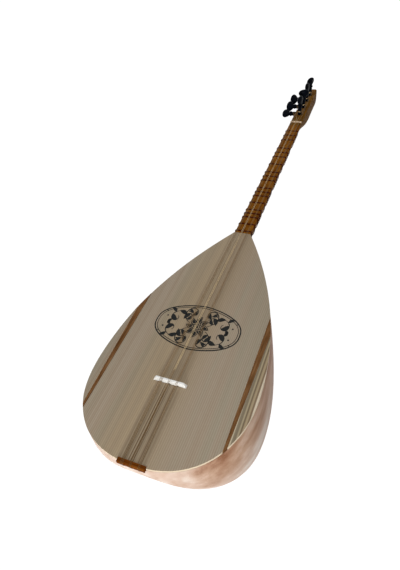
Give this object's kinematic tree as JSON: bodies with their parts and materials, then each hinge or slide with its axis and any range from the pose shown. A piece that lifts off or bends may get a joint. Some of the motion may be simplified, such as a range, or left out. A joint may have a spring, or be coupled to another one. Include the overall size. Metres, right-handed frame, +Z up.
{
  "type": "short-neck saz",
  "caption": "Plucked lute with a deep carved pear-shaped bowl, pale flat face with dark side strips, short tied-fret neck and friction pegs; lies on its back.",
  "frame": {"origin": "centre of the bounding box in plan, on the surface that the bowl's belly and the head's back lie on", "axes": "+Y from the tail to the head, along the strings seen from above; +X to the right seen from the front with the head up; +Z up, out of the face"},
  "size_m": [0.2388, 1.0002, 0.2315],
  "materials": {
    "bowl_wood": "satin, pale pinkish carved hardwood",
    "spruce": "satin, fine straight grain",
    "strip_wood": "satin",
    "neck_wood": "satin",
    "head_wood": "satin",
    "nut_bone": "satin",
    "bridge_white": "matt",
    "block_wood": "satin",
    "peg_black": "gloss",
    "fret_nylon": "satin nylon line",
    "steel": "drawn wire"
  },
  "bodies": {
    "instrument": {"bowl": "bowl_wood", "brace_1": "spruce", "brace_2": "spruce", "head": "head_wood", "hitch_pin_1": "steel", "hitch_pin_2": "steel", "hitch_pin_3": "steel", "neck": "neck_wood", "nut": "nut_bone", "soundboard": "spruce", "string_1": "steel", "string_2": "steel", "string_3": "steel", "string_4": "steel", "string_5": "steel", "string_6": "steel", "string_7": "steel", "strip_left": "strip_wood", "strip_right": "strip_wood", "tail_block": "block_wood", "wing_left": "spruce", "wing_right": "spruce"},
    "bridge": {"bridge": "bridge_white"},
    "fret_01": {"fret_01": "fret_nylon"},
    "fret_02": {"fret_02": "fret_nylon"},
    "fret_03": {"fret_03": "fret_nylon"},
    "fret_04": {"fret_04": "fret_nylon"},
    "fret_05": {"fret_05": "fret_nylon"},
    "fret_06": {"fret_06": "fret_nylon"},
    "fret_07": {"fret_07": "fret_nylon"},
    "fret_08": {"fret_08": "fret_nylon"},
    "fret_09": {"fret_09": "fret_nylon"},
    "fret_10": {"fret_10": "fret_nylon"},
    "fret_11": {"fret_11": "fret_nylon"},
    "fret_12": {"fret_12": "fret_nylon"},
    "fret_13": {"fret_13": "fret_nylon"},
    "fret_14": {"fret_14": "fret_nylon"},
    "fret_15": {"fret_15": "fret_nylon"},
    "fret_16": {"fret_16": "fret_nylon"},
    "fret_17": {"fret_17": "fret_nylon"},
    "fret_18": {"fret_18": "fret_nylon"},
    "fret_19": {"fret_19": "fret_nylon"},
    "peg_front_1": {"peg_front_1": "peg_black"},
    "peg_front_2": {"peg_front_2": "peg_black"},
    "peg_front_3": {"peg_front_3": "peg_black"},
    "peg_front_4": {"peg_front_4": "peg_black"},
    "peg_side_1": {"peg_side_1": "peg_black"},
    "peg_side_2": {"peg_side_2": "peg_black"},
    "peg_side_3": {"peg_side_3": "peg_black"}
  },
  "joints": [
    {"name": "bridge_slide", "type": "slide", "parent": "instrument", "child": "bridge", "axis": [0, 0.982, -0.1888], "range_m": [-0.003, 0.003]},
    {"name": "fret_01_slide", "type": "slide", "parent": "instrument", "child": "fret_01", "axis": [0, 0.982, -0.1888], "range_m": [-0.002, 0.002]},
    {"name": "fret_02_slide", "type": "slide", "parent": "instrument", "child": "fret_02", "axis": [0, 0.982, -0.1888], "range_m": [-0.002, 0.002]},
    {"name": "fret_03_slide", "type": "slide", "parent": "instrument", "child": "fret_03", "axis": [0, 0.982, -0.1888], "range_m": [-0.002, 0.002]},
    {"name": "fret_04_slide", "type": "slide", "parent": "instrument", "child": "fret_04", "axis": [0, 0.982, -0.1888], "range_m": [-0.002, 0.002]},
    {"name": "fret_05_slide", "type": "slide", "parent": "instrument", "child": "fret_05", "axis": [0, 0.982, -0.1888], "range_m": [-0.002, 0.002]},
    {"name": "fret_06_slide", "type": "slide", "parent": "instrument", "child": "fret_06", "axis": [0, 0.982, -0.1888], "range_m": [-0.002, 0.002]},
    {"name": "fret_07_slide", "type": "slide", "parent": "instrument", "child": "fret_07", "axis": [0, 0.982, -0.1888], "range_m": [-0.002, 0.002]},
    {"name": "fret_08_slide", "type": "slide", "parent": "instrument", "child": "fret_08", "axis": [0, 0.982, -0.1888], "range_m": [-0.002, 0.002]},
    {"name": "fret_09_slide", "type": "slide", "parent": "instrument", "child": "fret_09", "axis": [0, 0.982, -0.1888], "range_m": [-0.002, 0.002]},
    {"name": "fret_10_slide", "type": "slide", "parent": "instrument", "child": "fret_10", "axis": [0, 0.982, -0.1888], "range_m": [-0.002, 0.002]},
    {"name": "fret_11_slide", "type": "slide", "parent": "instrument", "child": "fret_11", "axis": [0, 0.982, -0.1888], "range_m": [-0.002, 0.002]},
    {"name": "fret_12_slide", "type": "slide", "parent": "instrument", "child": "fret_12", "axis": [0, 0.982, -0.1888], "range_m": [-0.002, 0.002]},
    {"name": "fret_13_slide", "type": "slide", "parent": "instrument", "child": "fret_13", "axis": [0, 0.982, -0.1888], "range_m": [-0.002, 0.002]},
    {"name": "fret_14_slide", "type": "slide", "parent": "instrument", "child": "fret_14", "axis": [0, 0.982, -0.1888], "range_m": [-0.002, 0.002]},
    {"name": "fret_15_slide", "type": "slide", "parent": "instrument", "child": "fret_15", "axis": [0, 0.982, -0.1888], "range_m": [-0.002, 0.002]},
    {"name": "fret_16_slide", "type": "slide", "parent": "instrument", "child": "fret_16", "axis": [0, 0.982, -0.1888], "range_m": [-0.002, 0.002]},
    {"name": "fret_17_slide", "type": "slide", "parent": "instrument", "child": "fret_17", "axis": [0, 0.982, -0.1888], "range_m": [-0.002, 0.002]},
    {"name": "fret_18_slide", "type": "slide", "parent": "instrument", "child": "fret_18", "axis": [0, 0.982, -0.1888], "range_m": [-0.002, 0.002]},
    {"name": "fret_19_slide", "type": "slide", "parent": "instrument", "child": "fret_19", "axis": [0, 0.982, -0.1888], "range_m": [-0.002, 0.002]},
    {"name": "peg_front_1_turn", "type": "hinge", "parent": "instrument", "child": "peg_front_1", "pos_m": [0, 0.34013, 0.0684], "axis": [0, 0.1888, 0.982], "continuous": true},
    {"name": "peg_front_2_turn", "type": "hinge", "parent": "instrument", "child": "peg_front_2", "pos_m": [0, 0.37629, 0.06055], "axis": [0, 0.1888, 0.982], "continuous": true},
    {"name": "peg_front_3_turn", "type": "hinge", "parent": "instrument", "child": "peg_front_3", "pos_m": [0, 0.41233, 0.05202], "axis": [0, 0.1888, 0.982], "continuous": true},
    {"name": "peg_front_4_turn", "type": "hinge", "parent": "instrument", "child": "peg_front_4", "pos_m": [0, 0.44823, 0.04274], "axis": [0, 0.1888, 0.982], "continuous": true},
    {"name": "peg_side_1_turn", "type": "hinge", "parent": "instrument", "child": "peg_side_1", "pos_m": [-0.01218, 0.35989, 0.05469], "axis": [-1, 0, 0], "continuous": true},
    {"name": "peg_side_2_turn", "type": "hinge", "parent": "instrument", "child": "peg_side_2", "pos_m": [-0.01135, 0.39623, 0.0477], "axis": [-1, 0, 0], "continuous": true},
    {"name": "peg_side_3_turn", "type": "hinge", "parent": "instrument", "child": "peg_side_3", "pos_m": [-0.01062, 0.43256, 0.04072], "axis": [-1, 0, 0], "continuous": true}
  ]
}
